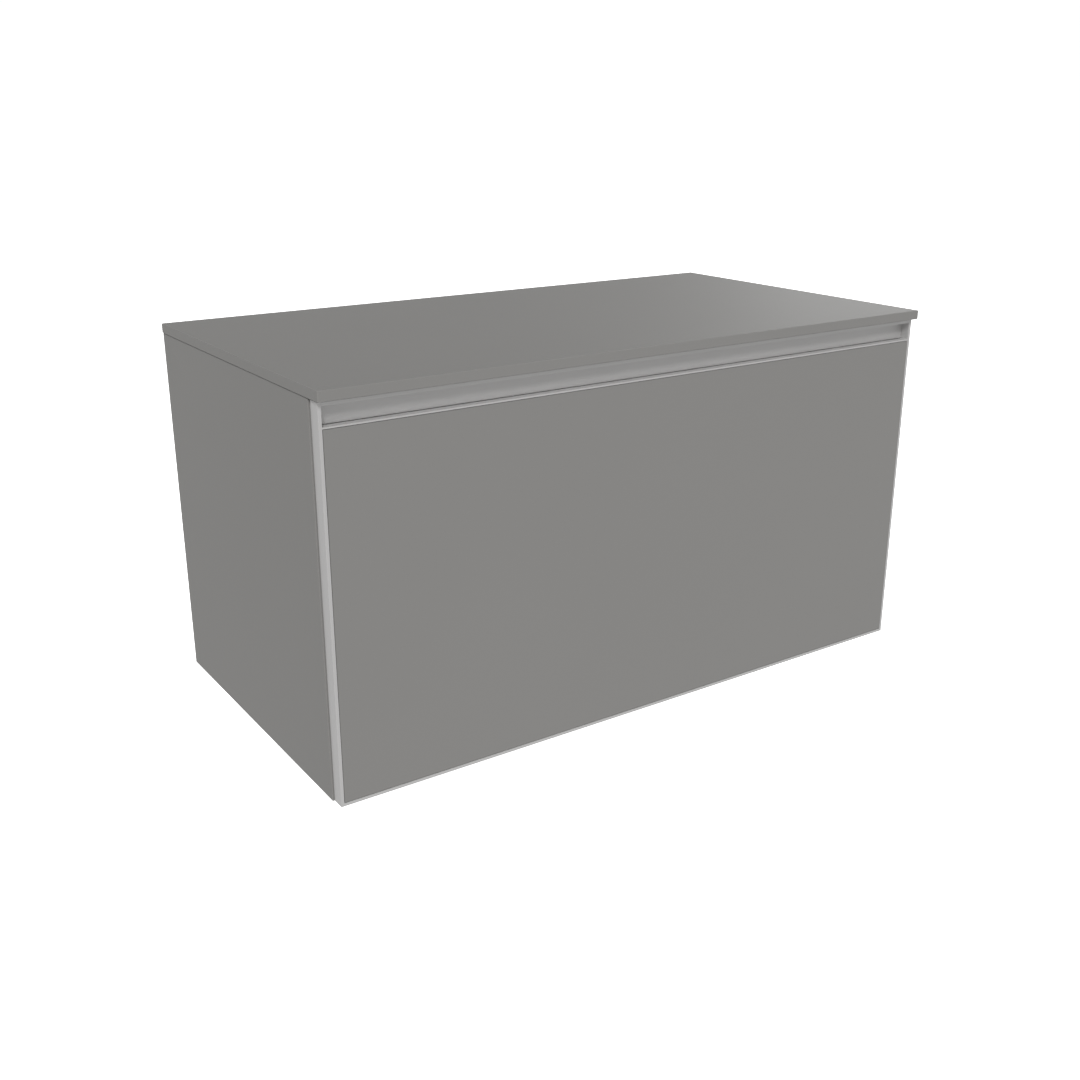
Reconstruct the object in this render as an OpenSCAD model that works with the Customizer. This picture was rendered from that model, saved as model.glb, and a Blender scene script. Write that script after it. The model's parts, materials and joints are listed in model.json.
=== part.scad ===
// Wall-hung bathroom vanity: a board carcass, a thin benchtop and one full-width drawer.
// Frame: x across the cabinet, y = 0 on the wall and the front towards -y, z up.
// The origin lies on the wall, half-way up the carcass, at the centre of its four wall screws.

/* [Carcass] */
// Width of the carcass over its side panels
carcass_w = 900; // [700:50:1500]
// Height of the carcass under the benchtop
carcass_h = 473; // [440:1:620]
// Depth of the carcass from the wall to its front edges
carcass_d = 455; // [450:1:560]
// Thickness of the carcass boards
board_t = 16; // [15:0.5:19]
// Height of each back rail
back_rail_h = 110; // [90:5:130]
// Depth of the flat front rail under the benchtop
front_rail_d = 80; // [70:5:110]
// Radius of the wall screw holes
wall_hole_r = 3; // [2.5:0.25:4]
// Distance from the carcass's top or bottom to the wall screw holes
wall_hole_edge = 66.5; // [50:0.5:80]
// Distance from the outside of a side panel to the wall screw holes
wall_hole_side = 150; // [60:10:250]

/* [Benchtop] */
// Thickness of the benchtop
benchtop_t = 12; // [11:1:30]
// Overhang of the benchtop past each side panel
benchtop_side = 1; // [0.5:0.5:20]
// Overhang of the benchtop past the drawer front
benchtop_front = 8; // [2:1:30]
// Easing on the benchtop's edges
benchtop_ease = 0.5; // [0.2:0.1:2]
// Leg length of the brackets that hold the benchtop
bracket_leg = 25; // [22:1:30]
// Width of each benchtop bracket
bracket_w = 30; // [20:1:40]
// Distance from the wall to the rear benchtop brackets
bracket_rear_y = 110; // [80:5:150]
// Distance between the rear and front benchtop brackets
bracket_pitch = 190; // [150:5:200]

/* [Drawer front] */
// Thickness of the drawer front
front_t = 18; // [18:0.5:21]
// Gap between the drawer front and the carcass
front_gap = 1; // [1:0.5:4]
// Gap between the drawer front and the benchtop
top_gap = 2; // [1:0.5:4]
// Distance of each side of the front inside the carcass side
front_inset = 2; // [0:0.5:3]
// Distance of the bottom of the front above the bottom of the carcass
front_lift = 0.75; // [0:0.25:2]
// Visible width of the edge trims
trim_face = 4; // [4:0.5:6]
// Wall of the hollow trims
trim_wall = 1.2; // [1:0.1:1.3]
// Thickness of the trim's tongue
tongue_t = 2; // [1.5:0.25:3]
// Length of the trim's tongue
tongue_l = 7; // [5:0.5:9]
// Clearance of tongues, keys, dowels, rods and screws in their seats
seat_fit = 0.1; // [0.05:0.01:0.15]
// Length of each leg of the corner keys
key_leg = 30; // [20:1:40]

/* [Finger pull] */
// Height of the opening that the fingers reach into
pull_h = 22.5; // [18:0.5:30]
// Depth of the opening behind the front
pull_d = 13; // [11:0.5:13.5]
// Wall of the extrusion
pull_wall = 1.5; // [1.2:0.1:1.8]
// Height of the nose over the opening
lip_h = 4; // [3:0.5:8]
// Height of the front edge of the ledge
ledge_h = 2; // [1.5:0.25:3]
// Depth of the ledge
ledge_d = 10; // [7:0.25:10.5]
// Depth of the groove behind the ledge, below the ledge's top
groove_h = 5; // [4:0.5:8]
// Height of the leg that is screwed to the panel
pull_leg = 20; // [15:1:30]

/* [Drawer box] */
// Room for pipes between the wall and the rear of the drawer sides
service_gap = 53; // [45:1:80]
// Height of the steel drawer sides
side_h = 118; // [90:1:140]
// Thickness of the double-walled drawer sides
side_t = 15; // [14:0.5:18]
// Gap between a drawer side and the side panel
side_gap = 6; // [5:0.5:8]
// Sheet of the drawer sides
side_sheet = 1.2; // [1:0.1:1.5]
// Width of the flange that carries the base
flange_w = 39; // [34:1:60]
// Thickness of the base, the back and the cut-out walls
drawer_board_t = 16; // [15:0.5:18]
// Height of the back and the cut-out walls
drawer_board_h = 150; // [140:5:200]
// Width of the plumbing cut-out
cutout_w = 300; // [200:10:340]
// Depth of the plumbing cut-out
cutout_d = 220; // [120:10:240]
// Diameter of the gallery rods
rod_d = 10; // [8:0.5:11]
// Distance of the gallery rods below the top of the back
rod_drop = 10; // [9:0.5:15]

/* [Runners] */
// Gap between the runners and the bottom panel
runner_lift = 4; // [3:0.5:8]
// Sheet of the runner members
runner_t = 1.5; // [1.2:0.1:2]
// Distance from the side panel to the channels
channel_u = 12; // [11.5:0.5:14]
// Width of the channels
channel_w = 22; // [22:0.5:26]
// Width of the channels' inturned lips
channel_lip = 7; // [6.5:0.25:7.5]
// Width of the middle member's flanges
beam_w = 16; // [15.5:0.25:16.5]
// Thickness of the middle member's web
web_t = 3; // [2:0.25:4]
// Diameter of the rollers
roller_d = 3.3; // [3:0.1:4]
// Running clearance on each side of a roller
roller_fit = 0.1; // [0.05:0.01:0.15]
// Gap between the lower and upper channels
channel_gap = 1.5; // [1.2:0.1:3]
// Distance from the carcass's front edge to the fixed member
runner_inset = 7; // [4:1:12]
// Distance from the wall to the rear ends of the fixed and middle members
runner_gap = 48; // [40:1:70]
// Length of each roller cage
cage_len = 160; // [120:10:180]
// Rollers in each row of a cage
roller_count = 5; // [3:1:6]

/* [Fixings] */
// Diameter of the dowels
dowel_d = 8; // [6:0.5:9]
// Length of the dowels
dowel_l = 30; // [25:1:35]
// Depth of a dowel in the side panel
dowel_seat = 10.5; // [8:0.5:12]
// Diameter of the cam locks
cam_d = 14.8; // [14:0.1:16]
// Height of the cam locks
cam_h = 12.3; // [11:0.1:12.5]
// Distance from the side panel to the cam centre
cam_u = 34; // [28:1:40]
// Diameter of the cam bolt's shank
bolt_d = 6; // [5:0.25:6.5]
// Diameter of the cam bolt's threaded end
bolt_thread_d = 5; // [4:0.25:5]
// Length of the cam bolt's threaded end
bolt_thread_l = 11; // [9:0.5:12]
// Diameter of the board screws
screw_d = 4; // [3:0.25:4.5]
// Length of the board screws under the head
screw_l = 15; // [12:0.5:15]
// Diameter of the board screws' heads
screw_head_d = 8; // [7:0.25:8.5]
// Height of the board screws' heads
screw_head_h = 2.2; // [1.8:0.1:2.4]
// Length of the long screws through the drawer's base
base_screw_l = 35; // [30:1:40]

/* [Hidden] */
$fn = 48;
hair = 0.01;
// How far a cutter passes the faces that it opens
over = 1;

// Finishes
board_grey = [0.51, 0.505, 0.495];
edge_alloy = [0.74, 0.74, 0.735];
box_white = [0.86, 0.86, 0.84];
side_steel = [0.45, 0.46, 0.47];
zinc = [0.70, 0.71, 0.73];
nylon = [0.90, 0.90, 0.88];
beech = [0.80, 0.66, 0.46];

// Carcass places
half_w = carcass_w / 2;
inner_w = carcass_w - 2 * board_t;
inner_x = inner_w / 2;
top_z = carcass_h / 2;
floor_z = -top_z;
deck_z = floor_z + board_t;
edge_y = -carcass_d;
wall_hole_x = half_w - wall_hole_side;
wall_hole_z = top_z - wall_hole_edge;
upper_rail_z = top_z - back_rail_h / 2;
lower_rail_z = deck_z + back_rail_h / 2;
top_mid_z = top_z - board_t / 2;
deck_mid_z = deck_z - board_t / 2;
back_mid_y = -board_t / 2;
front_rail_mid_y = edge_y + front_rail_d / 2;

// Drawer front places; z is measured up from the front's bottom edge
front_y = edge_y - front_gap - front_t;
front_back_y = front_y + front_t;
front_w = carcass_w - 2 * front_inset;
front_h = carcass_h - top_gap - front_lift;
front_floor = floor_z + front_lift;
trim_x = front_w / 2;
panel_x = trim_x - trim_face;
panel_top = front_h - lip_h - pull_h - ledge_h;
ledge_z = panel_top + ledge_h;
groove_z = ledge_z - groove_h;
leg_z = groove_z - pull_wall - pull_leg;
leg_relief = 0.5;
tongue_mid = front_t / 2;
tongue_start = trim_face + key_leg / 3;
tongue_drop = 5;
tongue_end = leg_z - leg_relief - tongue_drop;
tongue_room = 1;

// Runner section; u is measured in from the side panel and v up from the bottom panel
race = roller_d + 2 * roller_fit;
rail_v = runner_lift;
beam_v = rail_v + runner_t + race;
lip_v = beam_v + runner_t + race;
mirror_v = lip_v + runner_t + channel_gap / 2;
runner_top_v = 2 * mirror_v - rail_v;
beam_mid_u = channel_u + channel_w / 2;
rail_screw_drop = 1;
rail_screw_v = runner_top_v - rail_screw_drop;
rail_plate_top = rail_screw_v + screw_head_d;
runner_front_y = edge_y + runner_inset;
runner_rear_y = -runner_gap;
runner_len = runner_rear_y - runner_front_y;
cage_mid_y = runner_front_y + runner_len / 2;
cage_t = 1.7;
cage_wall = 0.7;
cage_side_gap = 0.4;
cage_web_gap = 1;
wide_roller_edge = 1.5;
narrow_roller_edge = 0.5;
wide_roller_l = beam_w - 2 * wide_roller_edge;
narrow_roller_l = 3;
narrow_roller_u = beam_w / 2 - narrow_roller_edge - narrow_roller_l / 2;
window_gap = 0.2;
cage_end = 10;
roller_pitch = (cage_len - 2 * cage_end) / (roller_count - 1);

// Drawer box places
bracket_t = 3;
box_front_y = front_back_y + bracket_t;
box_rear_y = -service_gap;
drawer_len = box_rear_y - box_front_y;
side_v = runner_top_v;
base_v = side_v + side_sheet;
base_top_v = base_v + drawer_board_t;
side_top_v = side_v + side_h;
base_u = side_gap + side_t;
side_mid_u = side_gap + side_t / 2;
back_top_v = base_top_v + drawer_board_h;
rod_v = back_top_v - rod_drop;
cutout_y = box_rear_y - cutout_d;
wall_x = cutout_w / 2 + drawer_board_t;
flange_screw_gap = 2;
flange_screw_u = channel_u + channel_w + screw_head_d / 2 + flange_screw_gap;
hollow_gap = 0.3;
ear_l = 20;
plate_inset = 0.5;
rod_front_y = box_front_y + seat_fit;
rod_end_gap = 8;
rod_rear_y = box_rear_y - rod_end_gap;
boss_d = 16;
boss_l = 12;
socket_drop = 22;
socket_screw_edge = 5;
socket_gap = 3;
socket_screw_v = rod_v - socket_drop + socket_screw_edge;
front_bracket_top = rod_v - socket_drop - socket_gap;
rear_plate_t = 1.5;
rear_plate_w = 38;
front_tongue_l = 40;
rear_tongue_l = 30;
tongue_margin = 24;
rear_tongue_margin = 8;

// Fixing places, for the left side; each dowel is [y, z] and each cam [y, z, turn]
dowel_reach = 165;
rail_dowel_step = 35;
flat_dowel_step = 25;
cam_reach = 115;
bolt_bore_d = bolt_d + 1;
deck_y = edge_y / 2;
DOWELS = concat(
    [for (s = [-1, 0, 1]) [deck_y + s * dowel_reach, deck_mid_z]],
    [for (s = [-1, 1]) [back_mid_y, upper_rail_z + s * rail_dowel_step]],
    [for (s = [-1, 1]) [back_mid_y, lower_rail_z + s * rail_dowel_step]],
    [for (s = [-1, 1]) [front_rail_mid_y + s * flat_dowel_step, top_mid_z]]);
CAMS = [
    [deck_y - cam_reach, deck_mid_z, 0],
    [deck_y + cam_reach, deck_mid_z, 0],
    [back_mid_y, upper_rail_z, -90],
    [back_mid_y, lower_rail_z, -90],
    [front_rail_mid_y, top_mid_z, 0]];
RAIL_SCREWS = [for (f = [0.1, 0.5, 0.9]) runner_front_y + f * runner_len];
top_bracket_t = 1.5;
pilot_gap = 0.5;
BRACKETS = [-bracket_rear_y, -bracket_rear_y - bracket_pitch];
bracket_screw_z = top_z - bracket_leg * 0.6;
insert_d = 8;
insert_l = 8;
machine_screw_d = 5;
machine_screw_l = 7;
machine_head_d = 9;
machine_head_h = 2.5;
bracket_insert_u = bracket_leg * 0.6;
BASE_SCREWS_BACK = [0.25, 0.75];
FLANGE_SCREWS = [0.08, 0.36, 0.64, 0.92];
front_screw_edge = 12;
front_screw_drop = 9;
FRONT_SCREWS = [side_v + front_screw_edge, side_top_v - front_screw_edge,
    front_bracket_top - front_screw_drop];
REAR_SCREWS = [0.25, 0.7];
rear_screw_u = base_u + front_screw_edge;
handle_screw_count = 5;
handle_screw_edge = 30;
handle_screw_d = 3;
handle_screw_l = 10;
handle_head_d = 5.5;
handle_head_h = 1.2;

// ---- shared shapes ----

// A box between two corners
module block(a, b) {
    translate(a)
        cube(b - a);
}

// A rectangle between two corners
module plate(a, b) {
    translate(a)
        square(b - a);
}

// A left-hand section in u and v, run along y from y0 to y1
module along_y(y0, y1) {
    translate([-inner_x, y1, deck_z])
        rotate([90, 0, 0])
            linear_extrude(y1 - y0)
                children();
}

// The same shape on the right-hand side
module right() {
    mirror([1, 0, 0])
        children();
}

// A shape on both sides
module both() {
    children();
    right()
        children();
}

// A point on the left side from u, y and v
function at(u, y, v) = [-inner_x + u, y, deck_z + v];

// A rod along x from the point p towards +x
module rod_x(p, d, l) {
    translate(p)
        rotate([0, 90, 0])
            cylinder(d = d, h = l);
}

// A rod along y from the point p towards +y
module rod_y(p, d, l) {
    translate(p)
        rotate([-90, 0, 0])
            cylinder(d = d, h = l);
}

// A pan-head screw with its shank along +z from the origin and a cross recess in its head
module pan_screw(d, l, head_d, head_h) {
    slot_l = head_d * 0.6;
    slot_w = head_d * 0.14;
    slot_h = head_h * 0.6;
    difference() {
        union() {
            translate([0, 0, -head_h / 2])
                cylinder(d = d, h = l + head_h / 2);
            translate([0, 0, -head_h])
                cylinder(d = head_d, h = head_h);
        }
        for (turn = [0, 90])
            rotate([0, 0, turn])
                translate([-slot_l / 2, -slot_w / 2, -head_h - hair])
                    cube([slot_l, slot_w, slot_h]);
    }
}

module board_screw() {
    pan_screw(screw_d, screw_l, screw_head_d, screw_head_h);
}

// Places a child, drawn along +z, at p and turned
module along(p, turn) {
    translate(p)
        rotate(turn)
            children();
}
to_minus_x = [0, -90, 0];
to_minus_y = [90, 0, 0];

// ---- carcass joints ----

module dowel_holes() {
    for (p = DOWELS)
        rod_x([-inner_x - dowel_seat - seat_fit, p.x, p.y], dowel_d + seat_fit,
            dowel_l + 2 * seat_fit);
}

module cam_holes() {
    for (p = CAMS) {
        rod_x([-inner_x - bolt_thread_l - seat_fit, p.x, p.y], bolt_thread_d + seat_fit,
            bolt_thread_l + 2 * seat_fit);
        rod_x([-inner_x, p.x, p.y], bolt_bore_d, cam_u);
        translate([-inner_x + cam_u, p.x, p.y])
            rotate([p.z, 0, 0])
                translate([0, 0, -board_t / 2 - hair])
                    cylinder(d = cam_d + seat_fit, h = cam_h + seat_fit + hair);
    }
}

module joint_holes() {
    both() {
        dowel_holes();
        cam_holes();
    }
}

module carcass_dowels() {
    color(beech)
        both()
            for (p = DOWELS)
                rod_x([-inner_x - dowel_seat, p.x, p.y], dowel_d, dowel_l);
}

// The eccentric housings, each with a cross slot in its face and a bore for its bolt
module cam_lock() {
    slot_w = cam_d * 0.14;
    slot_l = cam_d / 2;
    slot_h = 2;
    difference() {
        translate([0, 0, -board_t / 2])
            cylinder(d = cam_d, h = cam_h);
        translate([-cam_d, 0, 0])
            rotate([0, 90, 0])
                cylinder(d = bolt_bore_d + 1, h = cam_d + bolt_d / 2);
        for (turn = [45, 135])
            rotate([0, 0, turn])
                translate([-slot_l / 2, -slot_w / 2, -board_t / 2 - hair])
                    cube([slot_l, slot_w, slot_h]);
    }
}

module cam_locks() {
    color(zinc)
        both()
            for (p = CAMS)
                translate([-inner_x + cam_u, p.x, p.y])
                    rotate([p.z, 0, 0])
                        cam_lock();
}

// The bolts: threaded end in the side panel, shank, neck and head inside the cam
module cam_bolts() {
    neck = 4;
    head = 3;
    color(zinc)
        both()
            for (p = CAMS)
                translate([-inner_x, p.x, p.y])
                    rotate([0, 90, 0]) {
                        translate([0, 0, -bolt_thread_l])
                            cylinder(d = bolt_thread_d, h = bolt_thread_l + hair);
                        cylinder(d = bolt_d, h = cam_u - neck - head / 2);
                        cylinder(d = bolt_d / 2, h = cam_u);
                        translate([0, 0, cam_u - head / 2])
                            cylinder(d = bolt_d, h = head);
                    }
}

// ---- carcass boards ----

module side_panel() {
    color(board_grey)
        difference() {
            block([-half_w, edge_y, floor_z], [-inner_x, 0, top_z]);
            dowel_holes();
            cam_holes();
            for (y = RAIL_SCREWS)
                rod_x(at(runner_t - screw_l - pilot_gap, y, rail_screw_v), screw_d + seat_fit, screw_l);
            for (y = BRACKETS)
                rod_x([-inner_x + top_bracket_t - screw_l - pilot_gap, y, bracket_screw_z],
                    screw_d + seat_fit, screw_l);
        }
}

module side_panel_left() {
    side_panel();
}

module side_panel_right() {
    right()
        side_panel();
}

module bottom_panel() {
    color(board_grey)
        difference() {
            block([-inner_x, edge_y, floor_z], [inner_x, 0, deck_z]);
            joint_holes();
        }
}

// A back rail with its two wall screw holes at height hole_z
module back_rail(mid_z, hole_z) {
    color(board_grey)
        difference() {
            block([-inner_x, -board_t, mid_z - back_rail_h / 2],
                [inner_x, 0, mid_z + back_rail_h / 2]);
            joint_holes();
            for (side = [-1, 1])
                rod_y([side * wall_hole_x, -board_t - over, hole_z], 2 * wall_hole_r,
                    board_t + 2 * over);
        }
}

module back_rail_upper() {
    back_rail(upper_rail_z, wall_hole_z);
}

module back_rail_lower() {
    back_rail(lower_rail_z, -wall_hole_z);
}

module front_rail() {
    color(board_grey)
        difference() {
            block([-inner_x, edge_y, top_z - board_t],
                [inner_x, edge_y + front_rail_d, top_z]);
            joint_holes();
        }
}

// ---- benchtop and its fixings ----

// A rectangle with its corners cut off by e
module eased(a, b, e) {
    polygon([[a.x + e, a.y], [b.x - e, a.y], [b.x, a.y + e], [b.x, b.y - e],
        [b.x - e, b.y], [a.x + e, b.y], [a.x, b.y - e], [a.x, a.y + e]]);
}

module benchtop() {
    x = half_w + benchtop_side;
    y = front_y - benchtop_front;
    e = benchtop_ease;
    color(board_grey)
        difference() {
            intersection() {
                translate([0, 0, top_z])
                    linear_extrude(benchtop_t)
                        polygon([[-x, 0], [-x, y + e], [-x + e, y], [x - e, y], [x, y + e],
                            [x, 0]]);
                rotate([90, 0, 0])
                    linear_extrude(-y)
                        eased([-x, top_z], [x, top_z + benchtop_t], e);
                rotate([90, 0, 90])
                    translate([0, 0, -x])
                        linear_extrude(2 * x)
                            polygon([[0, top_z], [y + e, top_z], [y, top_z + e],
                                [y, top_z + benchtop_t - e], [y + e, top_z + benchtop_t],
                                [0, top_z + benchtop_t]]);
            }
            both()
                for (by = BRACKETS)
                    translate([-inner_x + bracket_insert_u, by, top_z - hair])
                        cylinder(d = insert_d + seat_fit, h = insert_l + seat_fit + hair);
        }
}

// Angle brackets in the corners between the side panels and the benchtop
module benchtop_brackets() {
    t = top_bracket_t;
    color(zinc)
        both()
            for (y = BRACKETS)
                difference() {
                    union() {
                        block([-inner_x, y - bracket_w / 2, top_z - t],
                            [-inner_x + bracket_leg, y + bracket_w / 2, top_z]);
                        block([-inner_x, y - bracket_w / 2, top_z - bracket_leg],
                            [-inner_x + t, y + bracket_w / 2, top_z - t + hair]);
                    }
                    rod_x([-inner_x - over, y, bracket_screw_z], screw_d + 2 * seat_fit,
                        t + 2 * over);
                    translate([-inner_x + bracket_insert_u, y, top_z - t - over])
                        cylinder(d = machine_screw_d + 2 * seat_fit, h = t + 2 * over);
                }
}

module benchtop_inserts() {
    color("goldenrod")
        both()
            for (y = BRACKETS)
                translate([-inner_x + bracket_insert_u, y, top_z])
                    difference() {
                        cylinder(d = insert_d, h = insert_l);
                        translate([0, 0, -over])
                            cylinder(d = machine_screw_d + seat_fit, h = insert_l + 2 * over);
                    }
}

module benchtop_screws() {
    color(zinc)
        both()
            for (y = BRACKETS)
                translate([-inner_x + bracket_insert_u, y, top_z - top_bracket_t])
                    pan_screw(machine_screw_d, machine_screw_l, machine_head_d, machine_head_h);
}

// Board screws of the fixed runners and the benchtop brackets, in the side panels
module carcass_screws() {
    color(zinc)
        both() {
            for (y = RAIL_SCREWS)
                along(at(runner_t, y, rail_screw_v), to_minus_x)
                    board_screw();
            for (y = BRACKETS)
                along([-inner_x + top_bracket_t, y, bracket_screw_z], to_minus_x)
                    board_screw();
        }
}

// Soft pads on the front edges of the side panels
pad_d = 8;
pad_edge = 36;
pad_clear = 0.5;

module bumper_pads() {
    pad_x = panel_x - pad_d / 2 - pad_clear;
    pad_z = top_z - pad_edge;
    color([0.93, 0.93, 0.92])
        for (x = [-pad_x, pad_x], z = [-pad_z, pad_z])
            rod_y([x, edge_y - front_gap, z], pad_d, front_gap);
}

// ---- runners ----

// A channel that opens upwards, with inturned lips
module channel() {
    u1 = channel_u + channel_w;
    v1 = lip_v + runner_t;
    plate([channel_u, rail_v], [u1, rail_v + runner_t]);
    plate([channel_u, rail_v], [channel_u + runner_t, v1]);
    plate([u1 - runner_t, rail_v], [u1, v1]);
    plate([channel_u, lip_v], [channel_u + channel_lip, v1]);
    plate([u1 - channel_lip, lip_v], [u1, v1]);
}

// A shape and its mirror image about the middle of the runner's height
module upper() {
    translate([0, 2 * mirror_v])
        mirror([0, 1])
            children();
}

// Fixed member: the channel on a foot that carries it out from its wall plate
module runner_rail() {
    color(zinc)
        difference() {
            along_y(runner_front_y, runner_rear_y) {
                channel();
                plate([0, rail_v], [channel_u + runner_t, rail_v + runner_t]);
                plate([0, rail_v], [runner_t, rail_plate_top]);
            }
            for (y = RAIL_SCREWS)
                rod_x(at(-over, y, rail_screw_v), screw_d + 2 * seat_fit, runner_t + 2 * over);
        }
}

module runner_rail_left() {
    runner_rail();
}

module runner_rail_right() {
    right()
        runner_rail();
}

// Middle member: a beam with a flange in each channel
module runner_mid() {
    u0 = beam_mid_u - beam_w / 2;
    u1 = beam_mid_u + beam_w / 2;
    top_v = 2 * mirror_v - beam_v;
    color(zinc)
        along_y(runner_front_y, runner_rear_y) {
            plate([u0, beam_v], [u1, beam_v + runner_t]);
            plate([u0, top_v - runner_t], [u1, top_v]);
            plate([beam_mid_u - web_t / 2, beam_v], [beam_mid_u + web_t / 2, top_v]);
        }
}

module runner_mid_left() {
    runner_mid();
}

module runner_mid_right() {
    right()
        runner_mid();
}

// Moving member: the same channel turned over, which carries the drawer side
module drawer_runner() {
    color(zinc)
        along_y(box_front_y, box_rear_y - bracket_t)
            upper()
                channel();
}

module drawer_runner_left() {
    drawer_runner();
}

module drawer_runner_right() {
    right()
        drawer_runner();
}

// Roller rows on the lower flange, each as its middle in u and v and its rollers' length
roller_low_v = rail_v + runner_t + race / 2;
roller_high_v = beam_v + runner_t + race / 2;
ROLLER_ROWS = [
    [beam_mid_u, roller_low_v, wide_roller_l],
    [beam_mid_u - narrow_roller_u, roller_high_v, narrow_roller_l],
    [beam_mid_u + narrow_roller_u, roller_high_v, narrow_roller_l]];
function roller_y(i) = cage_mid_y + (i - (roller_count - 1) / 2) * roller_pitch;
function flip_v(v, up) = up ? 2 * mirror_v - v : v;

// The rollers of one cage, on the lower flange or the upper one
module rollers(up) {
    color(nylon)
        for (row = ROLLER_ROWS, i = [0:roller_count - 1])
            rod_x(at(row.x - row.z / 2, roller_y(i), flip_v(row.y, up)), roller_d, row.z);
}

// A cage that wraps one flange, with a window round each roller
module cage_section() {
    outer = channel_w / 2 - runner_t - cage_side_gap;
    low = roller_low_v - cage_t / 2;
    high = roller_high_v + cage_t / 2;
    mid = beam_mid_u;
    inner = web_t / 2 + cage_web_gap;
    plate([mid - outer, low], [mid + outer, low + cage_t]);
    for (side = [-1, 1]) {
        wall = [mid + side * outer, mid + side * (outer - cage_wall)];
        ledge = [mid + side * outer, mid + side * inner];
        plate([min(wall), low], [max(wall), high]);
        plate([min(ledge), high - cage_t], [max(ledge), high]);
    }
}

module cage(up) {
    window = roller_d + 2 * window_gap;
    color([0.82, 0.84, 0.86])
        difference() {
            along_y(cage_mid_y - cage_len / 2, cage_mid_y + cage_len / 2)
                if (up)
                    upper()
                        cage_section();
                else
                    cage_section();
            for (row = ROLLER_ROWS, i = [0:roller_count - 1])
                translate(at(row.x, roller_y(i), flip_v(row.y, up)))
                    cube([row.z + 2 * window_gap, window, cage_t + over], center = true);
        }
}

module cage_lower_left() {
    cage(false);
}

module cage_lower_right() {
    right()
        cage(false);
}

module cage_upper_left() {
    cage(true);
}

module cage_upper_right() {
    right()
        cage(true);
}

module rollers_lower_left() {
    rollers(false);
}

module rollers_lower_right() {
    right()
        rollers(false);
}

module rollers_upper_left() {
    rollers(true);
}

module rollers_upper_right() {
    right()
        rollers(true);
}

// Soft-close housing on the foot of the fixed member, and the piston that it holds
damper_l = 130;
damper_clear = 0.5;
damper_w = channel_u - runner_t - 3 * damper_clear;
damper_h = 14;
damper_gap = 20;
damper_y = runner_rear_y - damper_gap - damper_l;
damper_u = runner_t + damper_clear;
damper_v = rail_v + runner_t;
damper_wall = 1.2;
damper_end = 6;
piston_d = 5;
piston_l = 92;
barrel_l = piston_l * 0.6;
stem_d = piston_d * 0.4;
piston_u = damper_u + damper_w / 2;
piston_y = damper_y + damper_end;
piston_v = damper_v + piston_d / 2 + damper_wall;

module soft_close() {
    slot_h = 4;
    color([0.30, 0.31, 0.32])
        difference() {
            block(at(damper_u, damper_y, damper_v),
                at(damper_u + damper_w, damper_y + damper_l, damper_v + damper_h));
            rod_y(at(piston_u, piston_y, piston_v), piston_d + seat_fit,
                piston_l + 2 * seat_fit);
            block(at(damper_u + damper_wall, piston_y, damper_v + damper_h - slot_h),
                at(damper_u + damper_w - damper_wall, damper_y + damper_l - 2 * damper_end,
                    damper_v + damper_h + hair));
        }
}

module soft_close_left() {
    soft_close();
}

module soft_close_right() {
    right()
        soft_close();
}

module damper_pistons() {
    color(zinc)
        both() {
            rod_y(at(piston_u, piston_y + seat_fit, piston_v), piston_d, barrel_l);
            rod_y(at(piston_u, piston_y + seat_fit, piston_v), stem_d, piston_l);
        }
}

// ---- drawer front ----

// A profile in depth and height, run across the front from x0 to x1
module across(x0, x1) {
    translate([x0, front_y, front_floor])
        rotate([90, 0, 90])
            linear_extrude(x1 - x0)
                children();
}

module handle_screws_at() {
    z = front_floor + leg_z + pull_leg / 2;
    for (i = [0:handle_screw_count - 1])
        translate([(i / (handle_screw_count - 1) - 0.5) * (2 * panel_x - 2 * handle_screw_edge),
            front_y + pull_d + pull_wall, z])
            rotate(to_minus_y)
                children();
}

// Board rebated along its top for the finger pull, and grooved for the trims' tongues
module front_panel() {
    groove = tongue_t + 2 * seat_fit;
    deep = tongue_l + seat_fit;
    mid = front_y + tongue_mid;
    color(board_grey)
        difference() {
            across(-panel_x, panel_x)
                polygon([[0, trim_face], [front_t, trim_face], [front_t, leg_z - leg_relief],
                    [pull_d, leg_z - leg_relief], [pull_d, groove_z - pull_wall],
                    [ledge_d - pull_wall, groove_z - pull_wall],
                    [ledge_d - pull_wall, panel_top], [0, panel_top]]);
            both()
                block([-panel_x - over, mid - groove / 2, front_floor + tongue_start - tongue_room],
                    [-panel_x + deep, mid + groove / 2, front_floor + tongue_end + tongue_room]);
            block([-panel_x + tongue_start - tongue_room, mid - groove / 2,
                front_floor + trim_face - over],
                [panel_x - tongue_start + tongue_room, mid + groove / 2,
                front_floor + trim_face + deep]);
            handle_screws_at()
                cylinder(d = handle_screw_d + seat_fit, h = handle_screw_l);
            both()
                for (v = concat(FRONT_SCREWS, [socket_screw_v]))
                    rod_y(at(side_mid_u, box_front_y - screw_l - pilot_gap, v),
                        screw_d + seat_fit, screw_l);
        }
}

// Hollow edge bar with a mitred foot and a tongue that seats in the panel's groove
module side_trim() {
    color(edge_alloy) {
        difference() {
            translate([0, front_y + front_t, front_floor])
                rotate([90, 0, 0])
                    linear_extrude(front_t)
                        polygon([[-trim_x, 0], [-trim_x, front_h], [-panel_x, front_h],
                            [-panel_x, trim_face]]);
            block([-trim_x + trim_wall, front_y + trim_wall, front_floor - over],
                [-panel_x - trim_wall, front_back_y - trim_wall, front_floor + front_h + over]);
        }
        block([-panel_x - hair, front_y + tongue_mid - tongue_t / 2, front_floor + tongue_start],
            [-panel_x + tongue_l, front_y + tongue_mid + tongue_t / 2, front_floor + tongue_end]);
    }
}

module trim_left() {
    side_trim();
}

module trim_right() {
    right()
        side_trim();
}

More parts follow.
